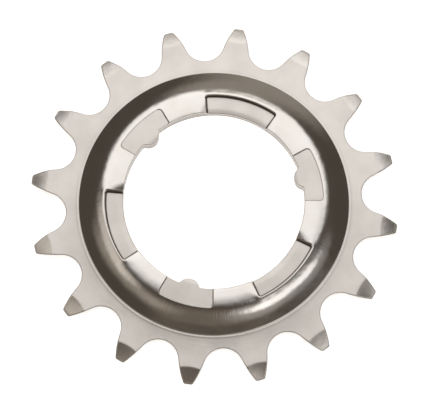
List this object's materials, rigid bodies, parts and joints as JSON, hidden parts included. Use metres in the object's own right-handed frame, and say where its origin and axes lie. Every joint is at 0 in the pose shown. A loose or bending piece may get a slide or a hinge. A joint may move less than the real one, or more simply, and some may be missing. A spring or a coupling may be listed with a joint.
{
  "type": "bicycle hub sprocket",
  "caption": "Dished chain sprocket for a bicycle hub, with bevelled teeth round its rim and a round bore with driving lugs.",
  "frame": {"origin": "on the sprocket's axis, in the plane of the tooth ring's back, on which it lies", "axes": "+Z along the axis, out of the raised hub flange; +X through one driving lug and the tooth in line with it"},
  "size_m": [0.0714, 0.0714, 0.0055],
  "materials": {
    "plated_steel": "bright nickel plating over turned and pressed steel, slightly satin"
  },
  "bodies": {
    "root": {"sprocket": "plated_steel"}
  },
  "joints": []
}
